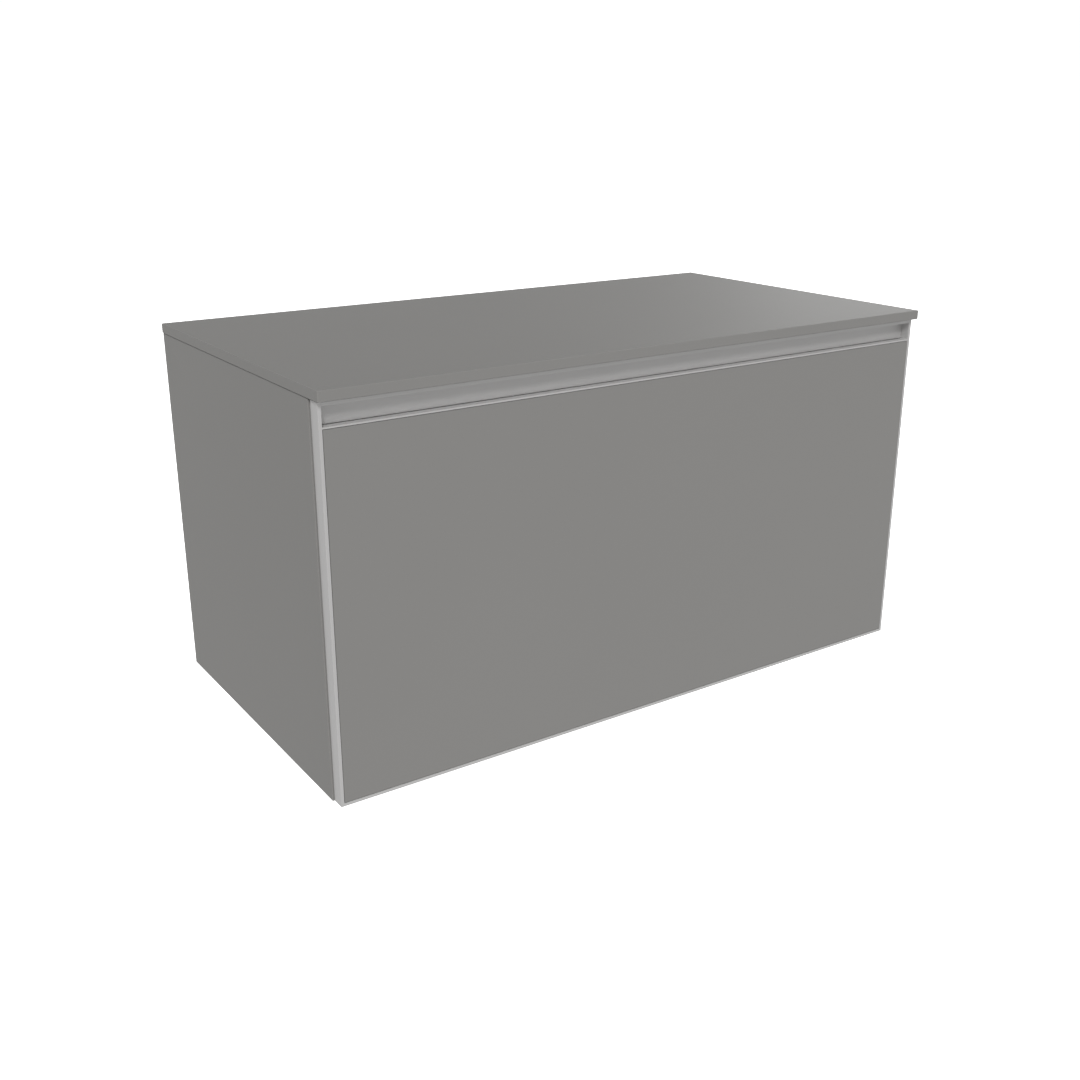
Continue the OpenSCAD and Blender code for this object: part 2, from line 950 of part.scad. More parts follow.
module trim_bottom() {
    color(edge_alloy) {
        difference() {
            translate([0, front_y + front_t, front_floor])
                rotate([90, 0, 0])
                    linear_extrude(front_t)
                        polygon([[-trim_x, 0], [trim_x, 0], [panel_x, trim_face],
                            [-panel_x, trim_face]]);
            block([-trim_x - over, front_y + trim_wall, front_floor + trim_wall],
                [trim_x + over, front_back_y - trim_wall, front_floor + trim_face - trim_wall]);
        }
        block([-panel_x + tongue_start, front_y + tongue_mid - tongue_t / 2,
            front_floor + trim_face - hair],
            [panel_x - tongue_start, front_y + tongue_mid + tongue_t / 2,
            front_floor + trim_face + tongue_l]);
    }
}

// Angle keys inside the mitred corners
module trim_corner_keys() {
    a = trim_wall + seat_fit;
    t = trim_face - 2 * a;
    color(zinc)
        both() {
            block([-trim_x + a, front_y + a, front_floor + a],
                [-trim_x + a + t, front_back_y - a, front_floor + a + key_leg]);
            block([-trim_x + a, front_y + a, front_floor + a],
                [-trim_x + a + key_leg, front_back_y - a, front_floor + a + t]);
        }
}

// Plugs that close the tops of the hollow side trims
module trim_end_plugs() {
    a = trim_wall + seat_fit;
    plug_l = 10;
    color([0.62, 0.62, 0.62])
        both()
            block([-trim_x + a, front_y + a, front_floor + front_h - plug_l],
                [-panel_x - a, front_back_y - a, front_floor + front_h]);
}

// Finger-pull extrusion: nose, top, back wall, undercut groove, ledge and screwed leg
module handle_profile() {
    w = pull_wall;
    behind = pull_d + w;
    heel = behind + w;
    color(edge_alloy)
        difference() {
            across(-panel_x, panel_x)
                polygon([[0, panel_top], [0, ledge_z], [ledge_d, ledge_z],
                    [ledge_d, groove_z], [behind, groove_z], [behind, ledge_z],
                    [pull_d, ledge_z], [pull_d, front_h - w], [w, front_h - w],
                    [w, front_h - lip_h], [0, front_h - lip_h], [0, front_h],
                    [behind, front_h], [behind, ledge_z + w], [heel, ledge_z + w],
                    [heel, groove_z - w], [behind, groove_z - w], [behind, leg_z],
                    [pull_d, leg_z], [pull_d, groove_z - w], [ledge_d - w, groove_z - w],
                    [ledge_d - w, panel_top]]);
            handle_screws_at()
                translate([0, 0, -over])
                    cylinder(d = handle_screw_d + 2 * seat_fit, h = w + 2 * over);
        }
}

module handle_screws() {
    color(zinc)
        handle_screws_at()
            pan_screw(handle_screw_d, handle_screw_l, handle_head_d, handle_head_h);
}

// ---- drawer box ----

// Double-walled steel side with an inner flange under the base
module drawer_side() {
    s = side_sheet;
    color(side_steel)
        difference() {
            along_y(box_front_y, box_rear_y)
                difference() {
                    union() {
                        plate([side_gap, side_v], [base_u, side_top_v]);
                        plate([side_gap, side_v], [base_u + flange_w, side_v + s]);
                    }
                    plate([side_gap + s, side_v + s], [base_u - s, side_top_v - s]);
                }
            for (f = FLANGE_SCREWS)
                translate(at(flange_screw_u, box_front_y + f * drawer_len, side_v - over))
                    cylinder(d = screw_d + 2 * seat_fit, h = s + 2 * over);
        }
}

module drawer_side_left() {
    drawer_side();
}

module drawer_side_right() {
    right()
        drawer_side();
}

// Places a child, drawn along +z, at each long screw under the base
module base_screws_at() {
    span = inner_x - base_u - wall_x;
    back_y = box_rear_y - drawer_board_t / 2;
    both() {
        for (f = BASE_SCREWS_BACK)
            translate([-wall_x - f * span, back_y, deck_z + base_v])
                children();
        for (f = BASE_SCREWS_BACK)
            translate([-wall_x + drawer_board_t / 2, cutout_y + f * cutout_d, deck_z + base_v])
                children();
        translate([-cutout_w / 3, cutout_y - drawer_board_t / 2, deck_z + base_v])
            children();
    }
}

module long_screw_hole() {
    translate([0, 0, -hair])
        cylinder(d = screw_d + seat_fit, h = base_screw_l + pilot_gap);
}

module drawer_base() {
    x = inner_x - base_u;
    color(box_white)
        difference() {
            block([-x, front_back_y, deck_z + base_v], [x, box_rear_y, deck_z + base_top_v]);
            block([-cutout_w / 2, cutout_y, deck_z + base_v - over],
                [cutout_w / 2, box_rear_y + over, deck_z + base_top_v + over]);
            base_screws_at()
                long_screw_hole();
            both()
                for (f = FLANGE_SCREWS)
                    translate(at(flange_screw_u, box_front_y + f * drawer_len, base_v - over))
                        cylinder(d = screw_d + seat_fit,
                            h = screw_l - side_sheet + over + pilot_gap);
        }
}

// Back of the drawer between its side and the cut-out
module drawer_back() {
    color(box_white)
        difference() {
            block([-inner_x + base_u, box_rear_y - drawer_board_t, deck_z + base_top_v],
                [-wall_x, box_rear_y, deck_z + back_top_v]);
            base_screws_at()
                long_screw_hole();
            for (f = REAR_SCREWS)
                rod_y(at(rear_screw_u, box_rear_y - screw_l + rear_plate_t - pilot_gap,
                    base_top_v + f * drawer_board_h), screw_d + seat_fit, screw_l);
        }
}

module drawer_back_left() {
    drawer_back();
}

module drawer_back_right() {
    right()
        drawer_back();
}

module cutout_side() {
    color(box_white)
        difference() {
            block([-wall_x, cutout_y, deck_z + base_top_v],
                [-cutout_w / 2, box_rear_y, deck_z + back_top_v]);
            base_screws_at()
                long_screw_hole();
        }
}

module cutout_side_left() {
    cutout_side();
}

module cutout_side_right() {
    right()
        cutout_side();
}

module cutout_front() {
    color(box_white)
        difference() {
            block([-wall_x, cutout_y - drawer_board_t, deck_z + base_top_v],
                [wall_x, cutout_y, deck_z + back_top_v]);
            base_screws_at()
                long_screw_hole();
        }
}

// Bracket between the front and a drawer side: a screwed plate and a tongue in the side
module front_bracket() {
    u0 = side_gap + side_sheet + hollow_gap;
    u1 = base_u - side_sheet - hollow_gap;
    low = side_v + tongue_margin;
    high = side_top_v - tongue_margin;
    color(zinc)
        difference() {
            union() {
                block(at(side_gap + plate_inset, front_back_y, side_v),
                    at(base_u - plate_inset, box_front_y, front_bracket_top));
                block(at(u0, box_front_y - hair, low), at(u1, box_front_y + front_tongue_l, high));
            }
            for (v = FRONT_SCREWS)
                rod_y(at(side_mid_u, front_back_y - over, v), screw_d + 2 * seat_fit,
                    bracket_t + 2 * over);
        }
}

module front_bracket_left() {
    front_bracket();
}

module front_bracket_right() {
    right()
        front_bracket();
}

// Bracket between a drawer side and the back, with an ear that holds the gallery rod
module back_bracket() {
    u0 = side_gap + side_sheet + hollow_gap;
    u1 = base_u - side_sheet - hollow_gap;
    low = base_top_v + rear_tongue_margin;
    high = side_top_v - tongue_margin;
    color(zinc)
        difference() {
            union() {
                block(at(side_gap + plate_inset, box_rear_y, base_top_v),
                    at(side_gap + plate_inset + rear_plate_w, box_rear_y + rear_plate_t, back_top_v));
                block(at(u0, box_rear_y - rear_tongue_l, low), at(u1, box_rear_y + hair, high));
                block(at(side_gap + plate_inset, box_rear_y - ear_l, side_top_v),
                    at(base_u - plate_inset, box_rear_y + hair, back_top_v));
            }
            rod_y(at(side_mid_u, box_rear_y - ear_l - over, rod_v), rod_d + seat_fit,
                rod_rear_y + seat_fit - (box_rear_y - ear_l - over));
            for (f = REAR_SCREWS)
                rod_y(at(rear_screw_u, box_rear_y - over, base_top_v + f * drawer_board_h),
                    screw_d + 2 * seat_fit, rear_plate_t + 2 * over);
        }
}

module back_bracket_left() {
    back_bracket();
}

module back_bracket_right() {
    right()
        back_bracket();
}

module gallery_rod() {
    color(side_steel)
        rod_y(at(side_mid_u, rod_front_y, rod_v), rod_d, rod_rear_y - rod_front_y);
}

module gallery_rod_left() {
    gallery_rod();
}

module gallery_rod_right() {
    right()
        gallery_rod();
}

// Sockets behind the front that hold the gallery rods
module rod_sockets() {
    color([0.55, 0.56, 0.57])
        both()
            difference() {
                union() {
                    block(at(side_gap, front_back_y, rod_v - socket_drop),
                        at(base_u, box_front_y, rod_v));
                    rod_y(at(side_mid_u, front_back_y, rod_v), boss_d, boss_l);
                }
                rod_y(at(side_mid_u, box_front_y, rod_v), rod_d + seat_fit, boss_l);
                rod_y(at(side_mid_u, front_back_y - over, socket_screw_v),
                    screw_d + 2 * seat_fit, bracket_t + 2 * over);
            }
}

// Board screws of the drawer: front brackets, rod sockets, back brackets and side flanges
module drawer_screws() {
    color(zinc)
        both() {
            for (v = concat(FRONT_SCREWS, [socket_screw_v]))
                along(at(side_mid_u, box_front_y, v), to_minus_y)
                    board_screw();
            for (f = REAR_SCREWS)
                along(at(rear_screw_u, box_rear_y + rear_plate_t,
                    base_top_v + f * drawer_board_h), to_minus_y)
                    board_screw();
            for (f = FLANGE_SCREWS)
                translate(at(flange_screw_u, box_front_y + f * drawer_len, side_v))
                    board_screw();
        }
}

module base_screws() {
    color(zinc)
        base_screws_at()
            pan_screw(screw_d, base_screw_l, screw_head_d, screw_head_h);
}

side_panel_left();
side_panel_right();
bottom_panel();
back_rail_upper();
back_rail_lower();
front_rail();
benchtop();
benchtop_brackets();
benchtop_inserts();
benchtop_screws();
carcass_screws();
carcass_dowels();
cam_locks();
cam_bolts();
runner_rail_left();
runner_rail_right();
soft_close_left();
soft_close_right();
damper_pistons();
bumper_pads();
runner_mid_left();
runner_mid_right();
cage_lower_left();
cage_lower_right();
cage_upper_left();
cage_upper_right();
rollers_lower_left();
rollers_lower_right();
rollers_upper_left();
rollers_upper_right();
front_panel();
trim_left();
trim_right();
trim_bottom();
handle_profile();
handle_screws();
trim_corner_keys();
trim_end_plugs();
drawer_runner_left();
drawer_runner_right();
drawer_side_left();
drawer_side_right();
drawer_base();
drawer_back_left();
drawer_back_right();
cutout_side_left();
cutout_side_right();
cutout_front();
front_bracket_left();
front_bracket_right();
back_bracket_left();
back_bracket_right();
gallery_rod_left();
gallery_rod_right();
rod_sockets();
drawer_screws();
base_screws();
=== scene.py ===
"""Wall-hung vanity: the finished look of its boards, trims, drawer and runners.

Everything is in metres in the cabinet's own frame: x across, the wall at y = 0, the drawer
front towards -y, z up, and the origin on the wall half-way up the carcass.
"""
import json
import math

import bmesh
import bpy
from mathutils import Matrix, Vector


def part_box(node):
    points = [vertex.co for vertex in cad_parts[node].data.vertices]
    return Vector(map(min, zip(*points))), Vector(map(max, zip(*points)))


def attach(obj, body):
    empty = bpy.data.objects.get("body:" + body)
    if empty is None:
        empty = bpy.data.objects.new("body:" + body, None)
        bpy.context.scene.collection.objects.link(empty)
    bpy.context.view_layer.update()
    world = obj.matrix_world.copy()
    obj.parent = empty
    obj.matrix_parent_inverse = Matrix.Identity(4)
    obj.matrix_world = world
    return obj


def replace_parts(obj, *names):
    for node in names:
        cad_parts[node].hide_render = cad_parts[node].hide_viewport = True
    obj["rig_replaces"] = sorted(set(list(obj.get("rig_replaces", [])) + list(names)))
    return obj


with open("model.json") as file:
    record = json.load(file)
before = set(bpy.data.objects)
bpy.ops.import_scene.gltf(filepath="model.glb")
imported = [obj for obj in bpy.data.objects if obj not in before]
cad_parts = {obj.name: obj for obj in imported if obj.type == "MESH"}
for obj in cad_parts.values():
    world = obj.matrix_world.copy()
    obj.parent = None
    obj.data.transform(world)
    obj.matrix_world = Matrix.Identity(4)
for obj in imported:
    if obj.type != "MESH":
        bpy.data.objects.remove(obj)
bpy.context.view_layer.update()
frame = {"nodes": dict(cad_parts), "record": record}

MM = 0.001


# ---- camera, from the photograph's vanishing points ----

CAMERA_PLACE = (-0.9552, -1.6282, 0.5263)
CAMERA_YAW = 34.0395
CAMERA_PITCH = 19.493
CAMERA_LENS = 41.6937
SENSOR_WIDTH = 36

camera_data = bpy.data.cameras.new("camera")
camera_data.lens = CAMERA_LENS
camera_data.sensor_width = SENSOR_WIDTH
camera = bpy.data.objects.new("camera", camera_data)
camera.location = CAMERA_PLACE
camera.rotation_euler = (math.radians(90 - CAMERA_PITCH), 0, math.radians(-CAMERA_YAW))
bpy.context.collection.objects.link(camera)
bpy.context.scene.camera = camera


# ---- shader maths ----

class Wire:
    """A shader socket that a number can be added to or multiplied by."""

    def __init__(self, finish, socket):
        self.finish = finish
        self.socket = socket

    def __radd__(self, number):
        return self.finish.node("Math", {"operation": "ADD"}, {0: number, 1: self})

    def __rmul__(self, number):
        return self.finish.node("Math", {"operation": "MULTIPLY"}, {0: number, 1: self})


class Finish:
    """A procedural material on a Principled shader, patterned in object coordinates."""

    def __init__(self, name, **constants):
        self.material = bpy.data.materials.new(name)
        self.material.use_nodes = True
        self.tree = self.material.node_tree
        self.shader = self.tree.nodes["Principled BSDF"]
        self.place = self.node("TexCoord", out="Object")
        for name, value in constants.items():
            self.shader.inputs[name.replace("_", " ").title().replace("Ior", "IOR")] \
                .default_value = value

    def plug(self, socket, value):
        if isinstance(value, Wire):
            self.tree.links.new(value.socket, socket)
        else:
            socket.default_value = value

    def node(self, kind, settings=None, inputs=None, out=0):
        """Any shader node: its type, its settings, and the values or links of its sockets."""
        made = self.tree.nodes.new("ShaderNode" + kind)
        for name, value in (settings or {}).items():
            setattr(made, name, value)
        for name, value in (inputs or {}).items():
            self.plug(made.inputs[name], value)
        return Wire(self, made.outputs[out])

    def stretched(self, scale):
        """Object coordinates, scaled along each axis."""
        return self.node("Mapping", inputs={"Vector": self.place, "Scale": scale})

    def noise(self, scale, detail, at=None):
        return self.node("TexNoise", inputs={"Vector": at or self.place, "Scale": scale,
                                             "Detail": detail})

    def blend(self, factor, a, b):
        """A colour between a and b."""
        colours = {"Factor": factor, 6: (*a, 1), 7: (*b, 1)}
        return self.node("Mix", {"data_type": "RGBA"}, colours, out=2)

    def colour(self, value):
        self.plug(self.shader.inputs["Base Color"], value)

    def rough(self, value):
        self.plug(self.shader.inputs["Roughness"], value)

    def bump(self, height, strength, distance):
        made = self.node("Bump", inputs={"Height": height, "Strength": strength,
                                         "Distance": distance})
        self.plug(self.shader.inputs["Normal"], made)


def shade(colour, factor):
    return tuple(channel * factor for channel in colour)


# ---- finishes ----

BOARD_GREY = (0.2346, 0.2307, 0.2232)
SATIN_SILVER = (0.535, 0.53, 0.525)
PALE_BOARD = (0.66, 0.655, 0.64)
STEEL_GREY = (0.19, 0.195, 0.20)


def matte_laminate(name, colour):
    """Super-matte laminate: an even colour with a faint cloud and a fine pebbled skin."""
    made = Finish(name, specular_ior_level=0.3)
    cloud = made.noise(5.0, 3.0)
    made.colour(made.blend(cloud, shade(colour, 0.985), shade(colour, 1.015)))
    pebble = made.noise(1600.0, 2.0)
    made.rough(0.56 + 0.08 * pebble)
    made.bump(pebble, 0.12, 0.05 * MM)
    return made.material


def anodised(name, along):
    """Satin anodised extrusion: fine die lines along its length."""
    across = 900.0
    scale = tuple(3.0 if axis == along else across for axis in "xyz")
    made = Finish(name, metallic=0.35)
    lines = made.noise(1.0, 3.0, at=made.stretched(scale))
    patch = made.noise(9.0, 2.0)
    made.colour(made.blend(patch, shade(SATIN_SILVER, 0.98), shade(SATIN_SILVER, 1.02)))
    made.rough(0.40 + 0.10 * lines)
    made.bump(lines, 0.10, 0.02 * MM)
    return made.material


def powder_coat(name, colour):
    """Satin powder coat with a little orange peel."""
    made = Finish(name, specular_ior_level=0.5)
    peel = made.noise(700.0, 2.0)
    cloud = made.noise(12.0, 2.0)
    made.colour(made.blend(cloud, shade(colour, 0.97), shade(colour, 1.03)))
    made.rough(0.36 + 0.08 * cloud)
    made.bump(peel, 0.10, 0.08 * MM)
    return made.material


def galvanised(name):
    """Rolled zinc-coated sheet: a faint spangle and rolling lines along y."""
    made = Finish(name, metallic=1.0)
    spangle = made.node("TexVoronoi", inputs={"Vector": made.place, "Scale": 160.0})
    lines = made.noise(1.0, 2.0, at=made.stretched((700.0, 8.0, 700.0)))
    made.colour(made.blend(spangle, (0.50, 0.51, 0.53), (0.62, 0.63, 0.65)))
    made.rough(0.34 + 0.14 * lines)
    made.bump(lines, 0.08, 0.03 * MM)
    return made.material


def plated(name, colour):
    """Bright plated fixings with a faint cloud in the gloss."""
    made = Finish(name, metallic=1.0)
    cloud = made.noise(260.0, 3.0)
    made.colour(made.blend(cloud, shade(colour, 0.93), shade(colour, 1.05)))
    made.rough(0.24 + 0.16 * cloud)
    made.bump(made.noise(1500.0, 2.0), 0.05, 0.02 * MM)
    return made.material


def moulded(name, colour, roughness):
    """Injection-moulded plastic with a spark-eroded skin."""
    made = Finish(name, specular_ior_level=0.5)
    spark = made.noise(2400.0, 2.0)
    cloud = made.noise(40.0, 2.0)
    made.colour(made.blend(cloud, shade(colour, 0.97), shade(colour, 1.03)))
    made.rough(roughness + 0.08 * cloud)
    made.bump(spark, 0.12, 0.04 * MM)
    return made.material


def beech_wood(name):
    """Bare beech dowels: grain along x with short darker flecks."""
    made = Finish(name, specular_ior_level=0.3)
    grain = made.noise(1.0, 4.0, at=made.stretched((30.0, 1400.0, 1400.0)))
    made.colour(made.blend(grain, (0.42, 0.26, 0.13), (0.66, 0.47, 0.28)))
    made.rough(0.55 + 0.15 * grain)
    made.bump(grain, 0.15, 0.05 * MM)
    return made.material


FINISHES = {
    "carcass_board": matte_laminate("warm_grey_laminate", BOARD_GREY),
    "front_board": matte_laminate("warm_grey_front", BOARD_GREY),
    "benchtop_surface": matte_laminate("warm_grey_benchtop", BOARD_GREY),
    "satin_trim": anodised("anodised_x", "x"),
    "galvanised_runner": galvanised("galvanised_sheet"),
    "zinc_fixings": plated("zinc_plate", (0.60, 0.61, 0.63)),
    "brass_inserts": plated("brass", (0.66, 0.47, 0.18)),
    "beech_dowels": beech_wood("beech"),
    "damper_plastic": moulded("dark_plastic", (0.075, 0.078, 0.082), 0.42),
    "cage_nylon": moulded("cage_nylon", (0.62, 0.65, 0.68), 0.36),
    "roller_nylon": moulded("roller_nylon", (0.78, 0.78, 0.75), 0.28),
    "bumper_rubber": moulded("bumper_pad", (0.80, 0.80, 0.78), 0.22),
    "plug_plastic": moulded("plug_plastic", (0.34, 0.34, 0.34), 0.40),
    "socket_plastic": moulded("socket_plastic", (0.26, 0.265, 0.27), 0.38),
    "drawer_steel": powder_coat("drawer_steel", STEEL_GREY),
    "drawer_board": matte_laminate("pale_laminate", PALE_BOARD),
}
ANODISED_UPRIGHT = anodised("anodised_z", "z")


def dress(obj, material):
    obj.data.materials.clear()
    obj.data.materials.append(material)


for part in frame["record"]["subparts"]:
    dress(frame["nodes"][part["node"]], FINISHES[part["material_slot"]])
for node in ("trim_left", "trim_right"):
    dress(frame["nodes"][node], ANODISED_UPRIGHT)


# ---- modelling by hand ----

TINY = 0.01 * MM
SMOOTH_ANGLE = 40


def begin(kind, **shape):
    """Add a primitive on its own, settle it in its mesh and open it for editing."""
    bpy.ops.object.select_all(action="DESELECT")
    getattr(bpy.ops.mesh, f"primitive_{kind}_add")(**shape)
    bpy.ops.object.transform_apply(location=True, rotation=True, scale=True)
    bpy.ops.object.mode_set(mode="EDIT")
    bpy.ops.mesh.select_mode(type="VERT")
    bpy.ops.mesh.select_all(action="SELECT")


def choose(kind, test):
    """Select the edges or faces that pass a test."""
    bpy.ops.mesh.select_mode(type=kind)
    bpy.ops.mesh.select_all(action="DESELECT")
    shape = bmesh.from_edit_mesh(bpy.context.object.data)
    for part in {"EDGE": shape.edges, "FACE": shape.faces}[kind]:
        if test(part):
            part.select_set(True)
    shape.select_flush_mode()
    bmesh.update_edit_mesh(bpy.context.object.data)


def ease(width, test=lambda edge: True, steps=2):
    """Round off the edges that pass a test."""
    choose("EDGE", test)
    bpy.ops.mesh.bevel(offset=width, segments=steps, affect="EDGES")


def runs(edge, axis):
    """Whether an edge lies along an axis, 0 for x, 1 for y or 2 for z."""
    a, b = (vert.co for vert in edge.verts)
    return abs(b[axis] - a[axis]) > (b - a).length - TINY


def on_plane(part, axis, place):
    """Whether every corner of an edge or face lies on a plane across an axis."""
    return all(abs(vert.co[axis] - place) < TINY for vert in part.verts)


def bends(places, radius):
    """Round the edges along y that pass through the places, given in x and z."""
    ease(radius, lambda edge: runs(edge, 1) and any(
        math.dist((edge.verts[0].co.x, edge.verts[0].co.z), place) < TINY for place in places),
         steps=5)


def block(low, high):
    """A plain block between two corners."""
    begin("cube", size=1, location=(low + high) / 2, scale=high - low)


def board(low, high, arris):
    """A board between two corners, with all its edges eased."""
    block(low, high)
    ease(arris, steps=3)


def line(points):
    """A chain of edges through the points, drawn from one vertex."""
    begin("plane", size=1, location=points[0])
    bpy.ops.mesh.merge(type="CENTER")
    for here, there in zip(points, points[1:]):
        bpy.ops.mesh.extrude_vertices_move(TRANSFORM_OT_translate={"value": there - here})
    bpy.ops.mesh.select_all(action="SELECT")


def extrusion(points, run):
    """A solid with a drawn outline, extruded along a run."""
    line(points)
    bpy.ops.mesh.edge_face_add()
    bpy.ops.mesh.select_all(action="SELECT")
    bpy.ops.mesh.extrude_region_move(TRANSFORM_OT_translate={"value": run})
    bpy.ops.mesh.select_all(action="SELECT")
    bpy.ops.mesh.normals_make_consistent(inside=False)


def ready(name, slot, body, node, finish=None, smooth=False):
    """Close the piece and hand it over: its name, finish, body and the node it stands for."""
    bpy.ops.object.mode_set(mode="OBJECT")
    piece = bpy.context.object
    piece.name = piece.data.name = name
    if smooth:
        bpy.ops.object.shade_smooth_by_angle(angle=math.radians(SMOOTH_ANGLE))
    dress(piece, finish or FINISHES[slot])
    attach(piece, body)
    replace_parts(piece, node)
    return piece


def again(piece):
    """Start to edit a copy of a piece, which has its own mesh and stands for no node yet."""
    bpy.ops.object.select_all(action="DESELECT")
    piece.select_set(True)
    bpy.context.view_layer.objects.active = piece
    bpy.ops.object.duplicate()
    bpy.context.object.pop("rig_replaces", None)
    bpy.ops.object.mode_set(mode="EDIT")
    bpy.ops.mesh.select_all(action="SELECT")


def mirrored(piece):
    """Start to edit the right-hand twin of a left-hand piece."""
    again(piece)
    bpy.ops.transform.resize(value=(-1, 1, 1), center_override=(0, 0, 0))
    bpy.ops.mesh.normals_make_consistent(inside=False)


# ---- sizes of the pieces, from the frame ----

panel_low, panel_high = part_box("front_panel")
trim_low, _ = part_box("trim_left")
pull_low, pull_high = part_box("handle_profile")
base_low, base_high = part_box("drawer_base")
cutout_low, cutout_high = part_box("cutout_front")
front_y = panel_low.y
back_y = panel_high.y

BOARD_ARRIS = 0.5 * MM
TOP_ROUND = 2.2 * MM
BENCHTOP_ARRIS = 0.8 * MM
BENCHTOP_LOWER_ARRIS = 0.2 * MM
BUMPER_RADIUS = 4 * MM
RIM_SHARE = 0.6
PANEL_ARRIS = 0.3 * MM
SHADOW_GAP = 0.6 * MM
SHADOW_DEPTH = 2 * MM
TRIM_ARRIS = 0.3 * MM
TRIM_WALL = 1.2 * MM

PULL_WALL = 1.5 * MM
PULL_DEPTH = 13 * MM
NOSE_HEIGHT = 4 * MM
LEDGE_HEIGHT = 2 * MM
LEDGE_DEPTH = 10 * MM
GROOVE_DEPTH = 5 * MM
LEG_RELIEF = 0.5 * MM
PROFILE_ARRIS = 0.25 * MM

ledge_top = panel_high.z + LEDGE_HEIGHT
groove_floor = ledge_top - GROOVE_DEPTH


# ---- carcass and benchtop ----

def benchtop_slab():
    """A board with soft edges, but crisper lower ones, which show no dark line in front."""
    low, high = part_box("benchtop")
    block(low, high)
    ease(BENCHTOP_ARRIS, lambda edge: not on_plane(edge, 2, low.z), steps=3)
    ease(BENCHTOP_LOWER_ARRIS, lambda edge: on_plane(edge, 2, low.z))
    ready("benchtop_slab", "benchtop_surface", "cabinet", "benchtop")


def carcass_sides():
    """Boards with rounded tops, which leave a dark line under the benchtop."""
    low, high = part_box("side_panel_left")
    block(low, high)
    ease(TOP_ROUND, lambda edge: on_plane(edge, 2, high.z), steps=4)
    ease(BOARD_ARRIS, lambda edge: runs(edge, 2) or on_plane(edge, 2, low.z))
    left = ready("carcass_side_left", "carcass_board", "cabinet", "side_panel_left")
    mirrored(left)
    ready("carcass_side_right", "carcass_board", "cabinet", "side_panel_right")


def bumper_domes():
    """Soft pads whose rims are rounded off towards the drawer front."""
    low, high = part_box("bumper_pads")
    thickness = high.y - low.y
    corner = Vector((low.x + BUMPER_RADIUS, (low.y + high.y) / 2, low.z + BUMPER_RADIUS))
    begin("cylinder", vertices=40, radius=BUMPER_RADIUS, depth=thickness, location=corner,
          rotation=(math.radians(90), 0, 0))
    ease(RIM_SHARE * thickness, lambda edge: on_plane(edge, 1, low.y), steps=4)
    first = ready("bumper_dome_1", "bumper_rubber", "cabinet", "bumper_pads", smooth=True)
    reach_x = high.x - low.x - 2 * BUMPER_RADIUS
    reach_z = high.z - low.z - 2 * BUMPER_RADIUS
    for count, step in enumerate(((reach_x, 0), (0, reach_z), (reach_x, reach_z)), 2):
        again(first)
        bpy.ops.transform.translate(value=(step[0], 0, step[1]))
        ready(f"bumper_dome_{count}", "bumper_rubber", "cabinet", "bumper_pads")


# ---- drawer front ----

def at_depth(depth, z):
    """A point at the left end of the front panel, so deep behind its face."""
    return Vector((panel_low.x, front_y + depth, z))


def front_board():
    """The rebated front panel, with a shadow gap and an arris round its face."""
    thickness = back_y - front_y
    relief = pull_low.z - LEG_RELIEF
    under_groove = groove_floor - PULL_WALL
    under_ledge = LEDGE_DEPTH - PULL_WALL
    extrusion([at_depth(SHADOW_DEPTH, panel_low.z), at_depth(thickness, panel_low.z),
               at_depth(thickness, relief), at_depth(PULL_DEPTH, relief),
               at_depth(PULL_DEPTH, under_groove), at_depth(under_ledge, under_groove),
               at_depth(under_ledge, panel_high.z), at_depth(SHADOW_DEPTH, panel_high.z)],
              Vector((panel_high.x - panel_low.x, 0, 0)))
    choose("FACE", lambda face: on_plane(face, 1, front_y + SHADOW_DEPTH))
    bpy.ops.mesh.inset(thickness=SHADOW_GAP)
    bpy.ops.mesh.extrude_region_move(TRANSFORM_OT_translate={"value": (0, -SHADOW_DEPTH, 0)})
    ease(PANEL_ARRIS, lambda edge: on_plane(edge, 1, front_y), steps=3)
    ready("front_board", "front_board", "drawer", "front_panel")


def hollow_bar(low, high, axis, mitres):
    """A rectangular tube along an axis, cut off at its mitres, with its outer corners rounded."""
    block(low, high)
    choose("FACE", lambda face: on_plane(face, axis, low[axis])
           or on_plane(face, axis, high[axis]))
    bpy.ops.mesh.inset(thickness=TRIM_WALL)
    bpy.ops.mesh.bridge_edge_loops()
    for place, waste_side in mitres:
        bpy.ops.mesh.select_all(action="SELECT")
        bpy.ops.mesh.bisect(plane_co=place, plane_no=waste_side, clear_outer=True)
        choose("EDGE", lambda edge: edge.is_boundary)
        bpy.ops.mesh.bridge_edge_loops()
    ease(TRIM_ARRIS, lambda edge: runs(edge, axis)
         and (on_plane(edge, 1, front_y) or on_plane(edge, 1, back_y)))


def edge_trims():
    """Hollow bars round the front board, mitred at its lower corners."""
    corner = Vector((trim_low.x, front_y, trim_low.z))
    hollow_bar(corner, Vector((panel_low.x, back_y, pull_high.z)), 2, [(corner, (1, 0, -1))])
    left = ready("edge_trim_left", "satin_trim", "drawer", "trim_left", finish=ANODISED_UPRIGHT)
    mirrored(left)
    ready("edge_trim_right", "satin_trim", "drawer", "trim_right", finish=ANODISED_UPRIGHT)
    far_corner = corner * Vector((-1, 1, 1))
    hollow_bar(corner, Vector((-trim_low.x, back_y, panel_low.z)), 0,
               [(corner, (-1, 0, 1)), (far_corner, (1, 0, 1))])
    ready("edge_trim_foot", "satin_trim", "drawer", "trim_bottom")


